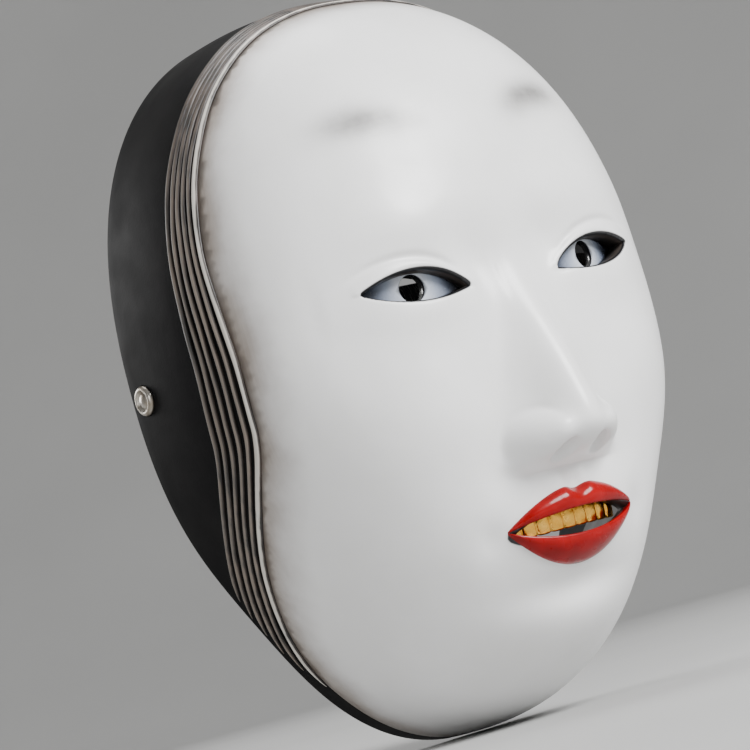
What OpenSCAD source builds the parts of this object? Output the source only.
// A wearable noh mask of a young woman, with its head strap tucked into the hollow.
// The face looks along -Y and the crown is up, +Z. The back rim lies in the plane y = 0, and the
// origin is the middle of the hollow's mouth, level with the two strap rivets.

/* [Shell] */
// Half width of the mask across the temples
half_width = 80; // [76:1:84]
// Height of the crown above the rivets
crown_height = 106; // [102:1:112]
// Depth of the chin below the rivets
chin_drop = 120; // [116:1:126]
// Depth of the plain dome ahead of the back rim
dome_depth = 90; // [88:1:94]
// Wall thickness of the shell
wall = 4; // [3.6:0.2:4.4]
// How deep the black side wall is, from the back rim to the hairline
side_depth = 46; // [42:1:50]

/* [Face] */
// Height of the eye slits above the rivets
eye_height = 6; // [3:1:9]
// Half the distance between the eyes
eye_offset = 32; // [31:0.5:33]
// Length of an eye slit
eye_length = 32; // [28:1:34]
// Height of the line between the lips, from the rivets
mouth_height = -68; // [-70:1:-66]
// Length of the mouth slit
mouth_length = 40; // [36:1:44]
// How far the nose stands out of the dome
nose_reach = 17; // [14:1:19]

/* [Hair] */
// Number of raised hair strands on each side
strand_count = 6; // [3:1:6]
// Radius of one strand
strand_radius = 0.65; // [0.5:0.05:0.65]

/* [Strap] */
// Distance of the rivets ahead of the back rim
rivet_inset = 8; // [8:0.5:10]
// Radius of the rivet's domed head
rivet_head_r = 4.5; // [4:0.25:5]
// Width of the elastic band
band_width = 20; // [16:1:22]
// Thickness of the elastic band
band_thick = 1.5; // [1.2:0.1:1.8]

/* [Hidden] */
$fn = 48;

// Dome: how square its outline is above and below the rivets, and how square its section is
top_power = 2.3;
bottom_power = 2.05;
section_power = 2.8;
// How much the jaw narrows between the cheeks and the chin
jaw_taper = 0.05;
// Chin: how little of the side wall is left under it
chin_side_depth = 8;
// How much further forward the hair reaches at the temples
temple_fullness = 6;
around = 80;
side_rings = 4;
face_rings = 22;
inner_rings = 9;

// Eye sockets, lips and teeth
eye_yaw = 16;
eye_slit_height = 10;
eye_front = dome_depth - 9.5;
eye_flange = 3;
eyeball_r = 29;
pupil_r = 3.4;
teeth_radius = 45;
teeth_centre = dome_depth - 51.6;
teeth_half = 20;
mouth_gap = 7.4;
lip_crown = 2.4;
teeth_count = 9;

// Rivet stack, from the outer seat inwards
seat_x = half_width - 0.4;
inner_seat_x = half_width - wall + 0.2;
spacer_thick = 1;
run_gap = 0.3;
flange_thick = 0.4;
washer_thick = 0.8;
post_r = 2;
eyelet_bore_r = 2.06;
eyelet_outer_r = 3.2;
flange_r = 5;
washer_r = 6;
flange_outer_x = inner_seat_x - spacer_thick - run_gap;
band_outer_x = flange_outer_x - flange_thick;
band_inner_x = band_outer_x - band_thick;
flange_inner_x = band_inner_x - flange_thick;
washer_outer_x = flange_inner_x - run_gap;
washer_inner_x = washer_outer_x - washer_thick;
cap_thick = 1.6;

// Strap: it runs forward, turns in a quarter circle and crosses straight behind the face
band_mid_x = band_outer_x - band_thick / 2;
band_tail = 6.5;
band_straight = 10;
band_flat = 25;
bend_r = band_mid_x - band_flat;
bend_start = rivet_inset + band_straight;
band_front = bend_start + bend_r;
bend_steps = 14;

// ---------- curves of the mask ----------
function power(a, p) = pow(abs(a), p);
function ramp(t) = let (c = min(1, max(0, t))) c * c * (3 - 2 * c);
function bell(x, z, cx, cz, wx, wz) = exp(-pow((x - cx) / wx, 2) - pow((z - cz) / wz, 2));
function twin(x, z, cx, cz, wx, wz) = bell(abs(x), z, cx, cz, wx, wz);

// Distance from the origin to the outline, in the direction a (0 is +X, 90 is the crown)
function jaw(a) =
    1 - jaw_taper * (exp(-pow((abs(a) - 52) / 20, 2)) + exp(-pow((abs(a) - 128) / 20, 2)));
function outline(a) =
    let (below = sin(a) < 0, n = below ? bottom_power : top_power, b = below ? chin_drop : crown_height)
    (below ? jaw(a > 180 ? a - 360 : a) : 1)
        * pow(power(cos(a) / half_width, n) + power(sin(a) / b, n), -1 / n);
// Share of the outline's radius that the dome still has at a depth, and the depth at a share
function share_at(depth, full) = pow(1 - power(depth / full, section_power), 1 / section_power);
function depth_at(share, full) = full * pow(1 - power(min(1, share), section_power), 1 / section_power);

// Depth of the hairline, ahead of the back rim: a little fuller at the temples, and gone at the jaw
function hairline(a) =
    let (below = a > 90 && a < 270 ? 180 - a : (a >= 270 ? a - 360 : a))
    chin_side_depth + (side_depth - chin_side_depth) * ramp((below + 64) / 50)
        + temple_fullness * exp(-pow((below + 2) / 26, 2));

// Relief of the face over the plain dome
function nose(x, z) =
    let (s = ramp((8 - z) / 52), w = 7 + 7 * s)
    nose_reach * s * exp(-pow(x / w, 2)) * ramp((z + 54) / 12)
        + 6 * twin(x, z, 12.5, -43, 6, 6.5);
// The wall is thicker behind the eyes, where the inserts are let in
function inner_relief(x, z) = 0.75 * relief(x, z) - 3.5 * twin(x, z, eye_offset, eye_height, 24, 14);
// Nose, brow ridges, eye sockets, eyeballs, cheeks, mouth, chin and forehead
function relief(x, z) =
    nose(x, z)
    + 3 * twin(x, z, 30, 21, 20, 7)
    - 5 * twin(x, z, 31, 8, 19, 10)
    + 3.5 * twin(x, z, 33, 5, 13, 7)
    + 3 * twin(x, z, 42, -32, 20, 24)
    + 5 * bell(x, z, 0, -68, 26, 15)
    + 7 * bell(x, z, 0, -100, 24, 16)
    + 2 * bell(x, z, 0, 55, 50, 40);

// A point of the outer or inner skin
function fade(share) = ramp((0.97 - share) / 0.25);
function outer_skin(a, share) =
    let (r = share * outline(a), x = r * cos(a), z = r * sin(a))
    [x, -depth_at(share, dome_depth) - fade(share) * relief(x, z), z];
// Depth of the outer skin straight behind a point of the front view
function skin_front(x, z) =
    let (share = norm([x, z]) / outline(atan2(z, x)))
    depth_at(share, dome_depth) + fade(share) * relief(x, z);
function inner_skin(a, share) =
    let (r = share * (outline(a) - wall), x = r * cos(a), z = r * sin(a))
    [x, -depth_at(share, dome_depth - wall) - fade(share) * inner_relief(x, z), z];
function side_point(a, depth, full, less) =
    let (r = share_at(depth, full) * (outline(a) - less))
    [r * cos(a), -depth, r * sin(a)];

// ---------- closed surfaces from rings of points ----------
function strip(first, second, n) = [
    for (i = [0 : n - 1])
        let (j = (i + 1) % n)
        each [[first + i, second + i, second + j], [first + i, second + j, first + j]]];
function fan(first, tip, n) = [for (i = [0 : n - 1]) [first + i, tip, first + (i + 1) % n]];
function flipped(faces) = [for (f = faces) [f[0], f[2], f[1]]];

// Slab between two sheets of (across + 1) by (down + 1) points, closed by a hem
module slab(front, back, across, down, turned = false) {
    row = down + 1;
    n = (across + 1) * row;
    function sheet(first) = [
        for (i = [0 : across - 1]) for (j = [0 : down - 1])
            let (c = first + i * row + j)
            each [[c, c + row, c + row + 1], [c, c + row + 1, c + 1]]];
    edge_loop = concat(
        [for (i = [0 : across - 1]) i * row],
        [for (j = [0 : down - 1]) across * row + j],
        [for (i = [across : -1 : 1]) i * row + down],
        [for (j = [down : -1 : 1]) j]);
    m = len(edge_loop);
    hem = [for (i = [0 : m - 1])
        let (p = edge_loop[i], q = edge_loop[(i + 1) % m])
        each [[p, p + n, q + n], [p, q + n, q]]];
    faces = concat(flipped(sheet(0)), sheet(n), flipped(hem));
    polyhedron(points = concat(front, back), faces = turned ? flipped(faces) : faces);
}

// Dome between the hairline and the middle of the face
module face_blank() {
    angles = [for (i = [0 : around - 1]) 360 * i / around];
    outer = [
        for (k = [0 : face_rings - 1])
            for (a = angles)
                let (edge = share_at(hairline(a), dome_depth))
                k == 0 ? side_point(a, hairline(a), dome_depth, 0)
                       : outer_skin(a, edge * (1 - k / face_rings))];
    inner = [
        for (k = [0 : inner_rings - 1])
            for (a = angles)
                let (edge = share_at(hairline(a), dome_depth - wall))
                k == 0 ? side_point(a, hairline(a), dome_depth - wall, wall)
                       : inner_skin(a, edge * (1 - k / inner_rings))];
    n_outer = face_rings * around;
    n_inner = inner_rings * around;
    points = concat(outer, inner, [outer_skin(90, 0)], [inner_skin(90, 0)]);
    faces = concat(
        [for (k = [0 : face_rings - 2]) each strip(k * around, (k + 1) * around, around)],
        fan((face_rings - 1) * around, n_outer + n_inner, around),
        flipped([for (k = [0 : inner_rings - 2])
            each strip(n_outer + k * around, n_outer + (k + 1) * around, around)]),
        flipped(fan(n_outer + (inner_rings - 1) * around, n_outer + n_inner + 1, around)),
        flipped(strip(0, n_outer, around)));
    polyhedron(points = points, faces = faces);
}

// Wall between the back rim and the hairline
module side_blank() {
    angles = [for (i = [0 : around - 1]) 360 * i / around];
    function ring(full, less) = [
        for (k = [0 : side_rings]) for (a = angles)
            side_point(a, hairline(a) * k / side_rings, full, less)];
    n = (side_rings + 1) * around;
    points = concat(ring(dome_depth, 0), ring(dome_depth - wall, wall));
    faces = concat(
        [for (k = [0 : side_rings - 1]) each strip(k * around, (k + 1) * around, around)],
        flipped([for (k = [0 : side_rings - 1])
            each strip(n + k * around, n + (k + 1) * around, around)]),
        strip(side_rings * around, n + side_rings * around, around),
        flipped(strip(0, n, around)));
    polyhedron(points = points, faces = faces);
}

// ---------- placing ----------
// An eye's own frame: the plane y = 0 is the seat of its insert, tilted to follow the face
module at_eye(side) {
    translate([side * eye_offset, -eye_front, eye_height]) rotate([0, 0, side * eye_yaw]) children();
}
// Turns a shape made along +Z so that it points inwards from the rivet's outer seat
module on_rivet(side, x) {
    translate([side * x, -rivet_inset, 0]) rotate([0, -90 * side, 0]) children();
}

// ---------- shells ----------
// An almond between two arcs, drawn in the plane of the slit
module almond(length, height) {
    half = length / 2;
    r = (half * half + height * height / 4) / height;
    intersection() {
        translate([0, height / 2 - r]) circle(r = r, $fn = 96);
        translate([0, r - height / 2]) circle(r = r, $fn = 96);
    }
}
module along_face(from, to) {
    translate([0, -from, 0]) rotate([90, 0, 0]) linear_extrude(to - from) children();
}
module teeth_pocket(r) {
    intersection() {
        translate([0, -teeth_centre, mouth_height - 8]) cylinder(r = r, h = 15, $fn = 160);
        translate([-teeth_half - 3, -dome_depth, mouth_height - 9]) cube([2 * teeth_half + 6, 22, 20]);
    }
}
module face_shell() {
    color("ivory") resize([0, 0, 0]) difference() {
        face_blank();
        for (side = [-1, 1]) at_eye(side) {
            along_face(-20, 20) almond(eye_length, eye_slit_height);
            along_face(-20, 0) square([eye_length + 5, eye_slit_height + 5], center = true);
        }
        translate([0, 0, mouth_height]) along_face(60, 130) almond(mouth_length, mouth_gap);
        teeth_pocket(teeth_radius + 0.1);
        for (side = [-1, 1])
            translate([side * 7.5, -95, -53]) rotate([-25, 0, 0])
                scale([1, 1.5, 1.6]) sphere(r = 3, $fn = 20);
    }
}
module side_shell() {
    color([0.07, 0.07, 0.07]) difference() {
        side_blank();
        for (side = [-1, 1]) {
            on_rivet(side, half_width + 4) cylinder(r = post_r, h = 12);
            on_rivet(side, half_width + 2) cylinder(r = rivet_head_r + 0.2, h = half_width + 2 - seat_x);
            on_rivet(side, inner_seat_x) cylinder(r = washer_r + 0.3, h = 4);
        }
    }
}

// ---------- hair ----------
// Strands lie side by side behind the hairline and spread towards the jaw
function strand_gap(a) = 1.9 + 1.5 * ramp((70 - a) / 110);
function strand_depth(a, k) = max(2, hairline(a) - 1 - k * strand_gap(a));
function strand_end(k) = -64 + 3.9 * k;
module strand(side, k) {
    steps = 36;
    corners = 5;
    function ring(a) =
        let (c = side_point(a, strand_depth(a, k), dome_depth, 0))
        [for (q = [0 : corners - 1])
            let (t = 360 * q / corners, out = strand_radius * cos(t))
            [side * (c[0] + out * cos(a)), c[1] - strand_radius * sin(t), c[2] + out * sin(a)]];
    points = [for (i = [0 : steps]) each ring(89.8 + (strand_end(k) - 89.8) * i / steps)];
    last = steps * corners;
    sides = concat(
        [for (i = [0 : steps - 1]) each strip(i * corners, (i + 1) * corners, corners)],
        [for (q = [1 : corners - 2]) [0, q, q + 1]],
        [for (q = [1 : corners - 2]) [last, last + q + 1, last + q]]);
    polyhedron(points = points, faces = side > 0 ? sides : flipped(sides));
}
module hair_strands(side) {
    color([0.32, 0.3, 0.28]) for (k = [0 : strand_count - 1]) strand(side, k);
}

// ---------- eyes, lips and teeth ----------
module eye_insert(side) {
    bulge = 3;
    color([0.4, 0.43, 0.5]) at_eye(side) difference() {
        union() {
            along_face(-eye_flange, 0)
                square([eye_length + 4.6, eye_slit_height + 4.6], center = true);
            intersection() {
                translate([0, eyeball_r - bulge, 0]) sphere(r = eyeball_r);
                along_face(-1, 5) almond(eye_length - 1, eye_slit_height - 0.8);
            }
        }
        translate([0, eyeball_r - bulge, 0]) sphere(r = eyeball_r - bulge);
        translate([0, 10, 0]) rotate([90, 0, 0]) cylinder(r = pupil_r, h = 20);
    }
}
// A lip follows the skin from the slit (v = 0) to its outer edge (v = 1), and is sunk into the skin
module lip(side, half, height, notch) {
    across = 24;
    rise = 6;
    sunk = 1;
    function lip_point(u, v, lift) =
        let (x = u * half,
            near = (mouth_gap / 2 - 0.4) * (1 - u * u),
            tall = 0.6 + height * (1 - pow(abs(u), 1.8)) * (1 - notch * exp(-pow(u / 0.14, 2))),
            z = mouth_height + side * (near + tall * v))
        [x, -skin_front(x, z) - lift, z];
    function crown(u, v) = 0.3 + lip_crown * (1 - u * u) * pow(sin(180 * (0.08 + 0.84 * v)), 0.7);
    front = [for (i = [0 : across]) for (j = [0 : rise])
        let (u = 2 * i / across - 1, v = j / rise) lip_point(u, v, crown(u, v))];
    back = [for (i = [0 : across]) for (j = [0 : rise]) lip_point(2 * i / across - 1, j / rise, -sunk)];
    color([0.7, 0.02, 0.04]) slab(front, back, across, rise, side < 0);
}
module upper_lip() { lip(1, 22, 6.2, 0.18); }
module lower_lip() { lip(-1, 19.5, 7.8, 0); }
module upper_teeth() {
    bar_low = mouth_height - 1.6;
    teeth_fan = asin(teeth_half / teeth_radius);
    color("goldenrod") translate([0, -teeth_centre, 0]) difference() {
        translate([0, 0, bar_low]) cylinder(r = teeth_radius, h = 8);
        translate([0, 0, bar_low - 1]) cylinder(r = teeth_radius - 3, h = 10);
        for (side = [-1, 1])
            translate([side * (teeth_half + 40), 0, bar_low + 4])
                cube([80, 4 * teeth_radius, 20], center = true);
        translate([-60, 0, bar_low - 1]) cube([120, 60, 10]);
        for (i = [1 : teeth_count - 1])
            rotate([0, 0, teeth_fan * (2 * i / teeth_count - 1)])
                translate([0, -teeth_radius, bar_low - 1]) cylinder(r = 0.35, h = 10);
    }
}

// ---------- rivets and strap ----------
module rivet(side) {
    post_end = washer_inner_x - cap_thick + 0.4;
    color("silver") {
        on_rivet(side, seat_x) cylinder(r = post_r, h = seat_x - post_end);
        on_rivet(side, seat_x) rotate([180, 0, 0]) rotate_extrude()
            polygon([[0, 0], [rivet_head_r, 0], [rivet_head_r, 0.7], [rivet_head_r - 0.6, 1.5],
                [rivet_head_r - 1.5, 1.7], [rivet_head_r - 2, 1.4], [1.6, 1.7], [0, 1.9]]);
    }
}
module ring(side, x, r, h) {
    on_rivet(side, x) difference() {
        cylinder(r = r, h = h);
        translate([0, 0, -1]) cylinder(r = post_r, h = h + 2);
    }
}
module spacer_washer(side) { color("dimgray") ring(side, inner_seat_x, washer_r, spacer_thick); }
module back_washer(side) { color("silver") ring(side, washer_outer_x, washer_r, washer_thick); }
module rivet_cap(side) {
    color("silver") on_rivet(side, washer_inner_x) difference() {
        cylinder(r1 = 4.2, r2 = 3.2, h = cap_thick);
        translate([0, 0, -1]) cylinder(r = post_r, h = 1 + cap_thick - 0.4);
    }
}

// Middle line of half the band, from its tail at the rim to the middle of the mask
function band_line(off) = concat(
    [[band_mid_x + off, band_tail - rivet_inset], [band_mid_x + off, -bend_start]],
    [for (i = [1 : bend_steps])
        let (t = 90 * i / bend_steps)
        [band_flat + (bend_r + off) * cos(t), -bend_start - (bend_r + off) * sin(t)]]);
function backwards(line) = [for (i = [len(line) - 1 : -1 : 0]) line[i]];
function mirrored(line) = [for (p = line) [-p[0], p[1]]];
module head_strap() {
    outside = band_line(band_thick / 2);
    inside = band_line(-band_thick / 2);
    color([0.05, 0.05, 0.05]) difference() {
        translate([0, 0, -band_width / 2]) linear_extrude(band_width)
            polygon(concat(outside, backwards(mirrored(outside)), mirrored(inside), backwards(inside)));
        for (side = [-1, 1]) on_rivet(side, half_width) cylinder(r = eyelet_outer_r, h = 20);
    }
}
module strap_eyelet(side) {
    color("silver") difference() {
        union() {
            on_rivet(side, flange_outer_x) cylinder(r = flange_r, h = flange_thick);
            on_rivet(side, flange_outer_x) cylinder(r = eyelet_outer_r, h = flange_outer_x - flange_inner_x);
            on_rivet(side, band_inner_x) cylinder(r = flange_r, h = flange_thick);
        }
        on_rivet(side, half_width) cylinder(r = eyelet_bore_r, h = 20);
    }
}
module strap_slider() {
    color([0.1, 0.1, 0.1]) translate([0, -band_front, 0]) difference() {
        cube([14, 5, band_width + 9], center = true);
        cube([16, band_thick + 0.6, band_width + 0.6], center = true);
    }
}

// ---------- pads ----------
// A foam pad that follows the inner skin over a patch of it
module pad(a_from, a_to, share_from, share_to, thick) {
    across = 8;
    down = 5;
    // Thinner towards the patch's edges, and clear of the skin by a little more than its facets
    function patch(lift) = [
        for (i = [0 : across]) for (j = [0 : down])
            let (a = a_from + (a_to - a_from) * i / across,
                share = share_from + (share_to - share_from) * j / down,
                inset = min(min(i, across - i) / across, min(j, down - j) / down),
                full = lift * min(1, 0.45 + 3 * inset),
                p = inner_skin(a, share), shrink = 1 - (0.3 + full) / 110)
            [p[0] * shrink, p[1] + 0.9 + full, p[2] * shrink]];
    slab(patch(0), patch(thick), across, down);
}
module forehead_pad() { color([0.12, 0.12, 0.12]) pad(68, 112, 0.86, 0.66, 7); }
module cheek_pad(side) {
    color([0.12, 0.12, 0.12]) mirror([side > 0 ? 0 : 1, 0, 0]) pad(-52, -36, 0.84, 0.58, 6);
}

face_shell();
side_shell();
hair_strands(-1);  // hair_strands_right
hair_strands(1);  // hair_strands_left
eye_insert(-1);  // eye_insert_right
eye_insert(1);  // eye_insert_left
upper_lip();
lower_lip();
upper_teeth();
rivet(-1);  // rivet_right
rivet(1);  // rivet_left
spacer_washer(-1);  // spacer_washer_right
spacer_washer(1);  // spacer_washer_left
back_washer(-1);  // back_washer_right
back_washer(1);  // back_washer_left
rivet_cap(-1);  // rivet_cap_right
rivet_cap(1);  // rivet_cap_left
head_strap();
strap_eyelet(-1);  // strap_eyelet_right
strap_eyelet(1);  // strap_eyelet_left
strap_slider();
forehead_pad();
cheek_pad(-1);  // cheek_pad_right
cheek_pad(1);  // cheek_pad_left
